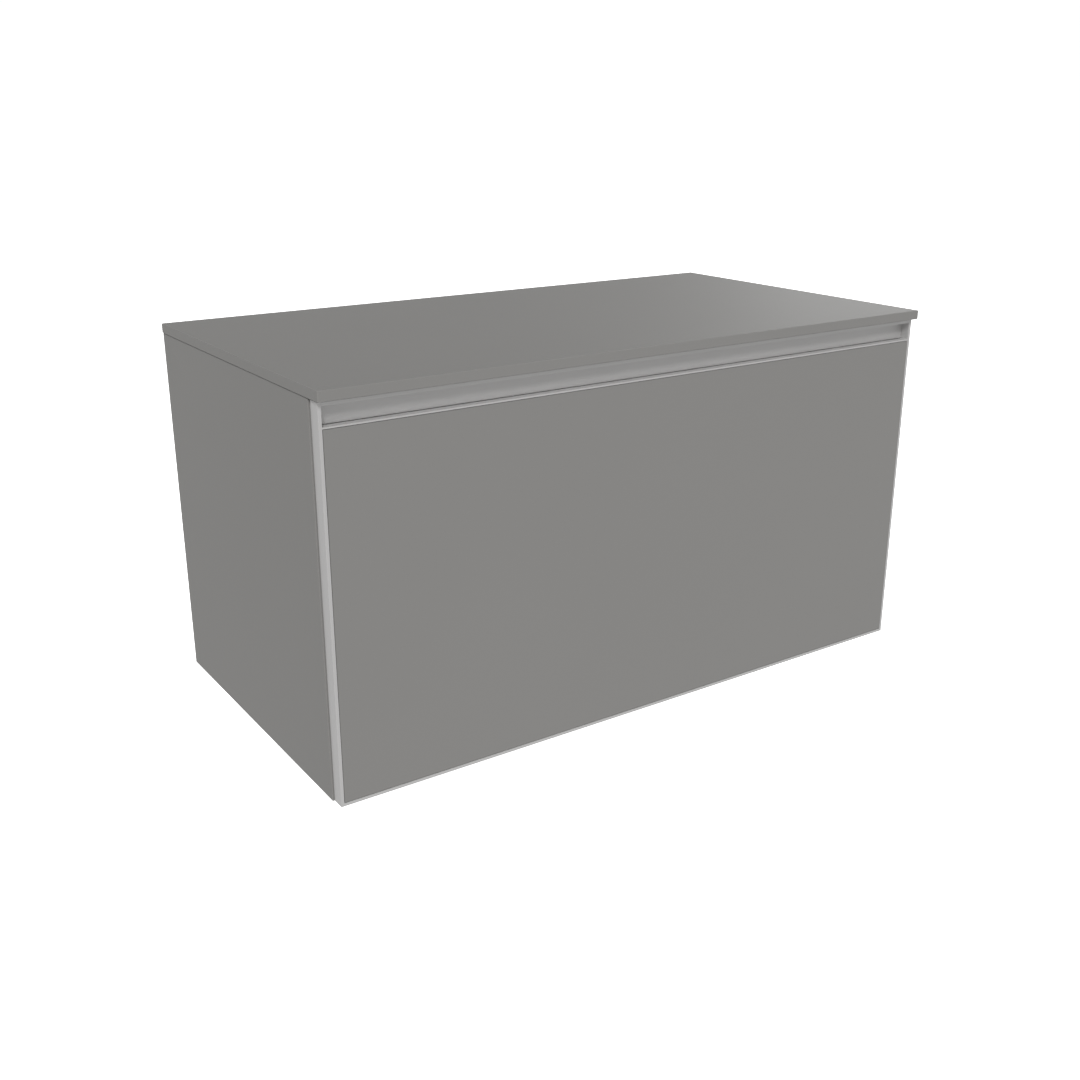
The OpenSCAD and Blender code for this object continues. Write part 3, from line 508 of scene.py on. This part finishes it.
def finger_pull():
    """The extrusion over the front board: nose, top, back wall, groove, ledge and leg."""
    top = pull_high.z
    behind = PULL_DEPTH + PULL_WALL
    heel = behind + PULL_WALL
    under_groove = groove_floor - PULL_WALL
    over_undercut = ledge_top + PULL_WALL
    under_ledge = LEDGE_DEPTH - PULL_WALL
    extrusion([at_depth(0, panel_high.z), at_depth(0, ledge_top),
               at_depth(LEDGE_DEPTH, ledge_top), at_depth(LEDGE_DEPTH, groove_floor),
               at_depth(behind, groove_floor), at_depth(behind, ledge_top),
               at_depth(PULL_DEPTH, ledge_top), at_depth(PULL_DEPTH, top - PULL_WALL),
               at_depth(PULL_WALL, top - PULL_WALL), at_depth(PULL_WALL, top - NOSE_HEIGHT),
               at_depth(0, top - NOSE_HEIGHT), at_depth(0, top), at_depth(behind, top),
               at_depth(behind, over_undercut), at_depth(heel, over_undercut),
               at_depth(heel, under_groove), at_depth(behind, under_groove),
               at_depth(behind, pull_low.z), at_depth(PULL_DEPTH, pull_low.z),
               at_depth(PULL_DEPTH, under_groove), at_depth(under_ledge, under_groove),
               at_depth(under_ledge, panel_high.z)],
              Vector((panel_high.x - panel_low.x, 0, 0)))
    ease(PROFILE_ARRIS, lambda edge: runs(edge, 0))
    ready("finger_pull", "satin_trim", "drawer", "handle_profile")


# ---- drawer box ----

DRAWER_ARRIS = 0.4 * MM
SHEET = 1.2 * MM
SIDE_WIDTH = 15 * MM
FOLD = 2.5 * MM


def drawer_sides():
    """One folded sheet a side: base flange, outer wall, rounded top and inner wall."""
    low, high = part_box("drawer_side_left")
    middle = SHEET / 2
    left = low.x + middle
    right = low.x + SIDE_WIDTH - middle
    bottom = low.z + middle
    top = high.z - middle
    fold = [(high.x, bottom), (left, bottom), (left, top), (right, top),
            (right, bottom + SHEET)]
    line([Vector((x, low.y, z)) for x, z in fold])
    bpy.ops.mesh.extrude_region_move(TRANSFORM_OT_translate={"value": (0, high.y - low.y, 0)})
    bends(fold[1:4], FOLD)
    bpy.ops.mesh.select_all(action="SELECT")
    bpy.ops.mesh.normals_make_consistent(inside=False)
    bpy.ops.object.mode_set(mode="OBJECT")
    wall = bpy.context.object.modifiers.new("sheet", "SOLIDIFY")
    wall.thickness = SHEET
    wall.offset = 0
    bpy.ops.object.modifier_apply(modifier=wall.name)
    left_side = ready("steel_side_left", "drawer_steel", "drawer", "drawer_side_left", smooth=True)
    mirrored(left_side)
    ready("steel_side_right", "drawer_steel", "drawer", "drawer_side_right")


def drawer_boards():
    """The base with its plumbing cut-out, and the boards that stand on it."""
    inner_low, inner_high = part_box("cutout_side_left")
    notch_x = inner_high.x
    notch_y = inner_low.y
    corners = [(base_low.x, base_low.y), (base_high.x, base_low.y), (base_high.x, base_high.y),
               (-notch_x, base_high.y), (-notch_x, notch_y), (notch_x, notch_y),
               (notch_x, base_high.y), (base_low.x, base_high.y)]
    extrusion([Vector((x, y, base_low.z)) for x, y in corners],
              Vector((0, 0, base_high.z - base_low.z)))
    ease(DRAWER_ARRIS)
    ready("base_board", "drawer_board", "drawer", "drawer_base")
    board(cutout_low, cutout_high, DRAWER_ARRIS)
    ready("cutout_front_board", "drawer_board", "drawer", "cutout_front")
    for node, name in (("drawer_back", "back_board"), ("cutout_side", "cutout_board")):
        board(*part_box(f"{node}_left"), DRAWER_ARRIS)
        left = ready(f"{name}_left", "drawer_board", "drawer", f"{node}_left")
        mirrored(left)
        ready(f"{name}_right", "drawer_board", "drawer", f"{node}_right")


# ---- runners ----

RUNNER_SHEET = 1.5 * MM
CHANNEL_LIP = 7 * MM
RUNNER_BEND = 1 * MM
BEAM_WEB = 3 * MM
BEAM_ARRIS = 0.4 * MM


def channel(left, right, floor, rim):
    """The outline of a lipped channel in x and z, with its outer and its inner bends."""
    sheet = math.copysign(RUNNER_SHEET, rim - floor)
    outer = [(left, floor), (right, floor), (right, rim), (left, rim)]
    near, far = left + RUNNER_SHEET, right - RUNNER_SHEET
    inner = [(far, rim - sheet), (far, floor + sheet), (near, floor + sheet), (near, rim - sheet)]
    right_lip = [(right - CHANNEL_LIP, rim), (right - CHANNEL_LIP, rim - sheet)]
    left_lip = [(left + CHANNEL_LIP, rim - sheet), (left + CHANNEL_LIP, rim)]
    return outer[:3] + right_lip + inner + left_lip + outer[3:], outer, inner


def rolled(outline, start, length, outer, inner):
    """A sheet section rolled along y, thicker round its outer bends than its inner ones."""
    extrusion([Vector((x, start, z)) for x, z in outline], Vector((0, length, 0)))
    bends(outer, RUNNER_BEND + RUNNER_SHEET)
    bends(inner, RUNNER_BEND)


def moving_channels():
    """The upper channels, open downwards, which carry the drawer's sides."""
    low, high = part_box("drawer_runner_left")
    outline, outer, inner = channel(low.x, high.x, high.z, low.z)
    rolled(outline, low.y, high.y - low.y, outer, inner)
    left = ready("moving_channel_left", "galvanised_runner", "drawer", "drawer_runner_left",
                 smooth=True)
    mirrored(left)
    ready("moving_channel_right", "galvanised_runner", "drawer", "drawer_runner_right")


def fixed_channels():
    """The lower channels, each on a foot that turns up into its wall plate."""
    low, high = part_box("runner_rail_left")
    moving_low, moving_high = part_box("drawer_runner_left")
    rim = low.z + moving_high.z - moving_low.z
    outline, outer, inner = channel(moving_low.x, high.x, low.z, rim)
    foot_top = low.z + RUNNER_SHEET
    plate = low.x + RUNNER_SHEET
    outline = ([(low.x, high.z), (low.x, low.z)] + outline[1:]
               + [(moving_low.x, foot_top), (plate, foot_top), (plate, high.z)])
    rolled(outline, low.y, high.y - low.y, [(low.x, low.z)] + outer[1:],
           inner + [(plate, foot_top)])
    left = ready("fixed_channel_left", "galvanised_runner", "cabinet", "runner_rail_left",
                 smooth=True)
    mirrored(left)
    ready("fixed_channel_right", "galvanised_runner", "cabinet", "runner_rail_right")


def middle_beams():
    """The middle members: a flange in each channel and a web between them."""
    low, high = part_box("runner_mid_left")
    web_left = (low.x + high.x - BEAM_WEB) / 2
    web_right = web_left + BEAM_WEB
    under = low.z + RUNNER_SHEET
    over = high.z - RUNNER_SHEET
    outline = [(low.x, low.z), (high.x, low.z), (high.x, under), (web_right, under),
               (web_right, over), (high.x, over), (high.x, high.z), (low.x, high.z),
               (low.x, over), (web_left, over), (web_left, under), (low.x, under)]
    extrusion([Vector((x, low.y, z)) for x, z in outline], Vector((0, high.y - low.y, 0)))
    ease(BEAM_ARRIS, lambda edge: runs(edge, 1), steps=3)
    left = ready("middle_beam_left", "galvanised_runner", "runner_middle_left", "runner_mid_left",
                 smooth=True)
    mirrored(left)
    ready("middle_beam_right", "galvanised_runner", "runner_middle_right", "runner_mid_right")


benchtop_slab()
carcass_sides()
bumper_domes()
front_board()
edge_trims()
finger_pull()
drawer_sides()
drawer_boards()
moving_channels()
fixed_channels()
middle_beams()


# ---- studio ----

FLOOR_DROP = 0.62
FLOOR_SIZE = 30
FLOOR_GREY = (0.8, 0.8, 0.8)
WHITE = 1.02
FILL_BELOW = 0.82
FILL_ABOVE = 0.28

KEY_TOWARDS = (-0.408, -0.624, 0.666)
KEY_IRRADIANCE = 2.15
KEY_SPREAD = 16
BOX_PLACE = (3.675, 1.75, 1.15)
BOX_TARGET = (0.3, -0.2, 0.2)
BOX_SIZE = 2.1
BOX_POWER = 39


def studio_world():
    """White to the camera, and for everything else a soft fill that is stronger from below."""
    world = bpy.data.worlds.new("studio")
    bpy.context.scene.world = world
    world.use_nodes = True
    tree = world.node_tree
    fill = tree.nodes["Background"]
    fill.inputs["Color"].default_value = (1, 1, 1, 1)
    towards = tree.nodes.new("ShaderNodeTexCoord")
    height = tree.nodes.new("ShaderNodeSeparateXYZ")
    tree.links.new(towards.outputs["Generated"], height.inputs[0])
    strength = tree.nodes.new("ShaderNodeMapRange")
    strength.inputs["From Min"].default_value = -1
    strength.inputs["To Min"].default_value = FILL_BELOW
    strength.inputs["To Max"].default_value = FILL_ABOVE
    tree.links.new(height.outputs["Z"], strength.inputs["Value"])
    tree.links.new(strength.outputs[0], fill.inputs["Strength"])
    backdrop = tree.nodes.new("ShaderNodeBackground")
    backdrop.inputs["Strength"].default_value = WHITE
    backdrop.inputs["Color"].default_value = (1, 1, 1, 1)
    path = tree.nodes.new("ShaderNodeLightPath")
    mix = tree.nodes.new("ShaderNodeMixShader")
    tree.links.new(path.outputs["Is Camera Ray"], mix.inputs[0])
    tree.links.new(fill.outputs[0], mix.inputs[1])
    tree.links.new(backdrop.outputs[0], mix.inputs[2])
    tree.links.new(mix.outputs[0], tree.nodes["World Output"].inputs["Surface"])


def studio_floor():
    bpy.ops.object.select_all(action="DESELECT")
    bpy.ops.mesh.primitive_plane_add(size=FLOOR_SIZE, location=(0, 0, -FLOOR_DROP))
    floor = bpy.context.object
    floor.name = "studio_floor"
    material = bpy.data.materials.new("studio_floor")
    material.use_nodes = True
    shader = material.node_tree.nodes["Principled BSDF"]
    shader.inputs["Base Color"].default_value = (*FLOOR_GREY, 1)
    shader.inputs["Emission Color"].default_value = (1, 1, 1, 1)
    shader.inputs["Emission Strength"].default_value = WHITE
    dress(floor, material)
    floor.visible_diffuse = floor.visible_glossy = False


def softbox(name, place, target, size, power):
    data = bpy.data.lights.new(name, "AREA")
    data.shape = "SQUARE"
    data.size = size
    data.energy = power
    light = bpy.data.objects.new(name, data)
    light.location = place
    aim = Vector(target) - Vector(place)
    light.rotation_euler = aim.to_track_quat("-Z", "Y").to_euler()
    light.visible_camera = False
    bpy.context.collection.objects.link(light)


def soft_sun(name, towards, irradiance, spread):
    """Even light from one direction, as from a big distant lamp."""
    data = bpy.data.lights.new(name, "SUN")
    data.energy = irradiance
    data.angle = math.radians(spread)
    light = bpy.data.objects.new(name, data)
    light.rotation_euler = Vector(towards).to_track_quat("Z", "Y").to_euler()
    bpy.context.collection.objects.link(light)


bpy.context.scene.view_settings.view_transform = "Standard"
studio_world()
studio_floor()
soft_sun("key", KEY_TOWARDS, KEY_IRRADIANCE, KEY_SPREAD)
softbox("top_right", BOX_PLACE, BOX_TARGET, BOX_SIZE, BOX_POWER)
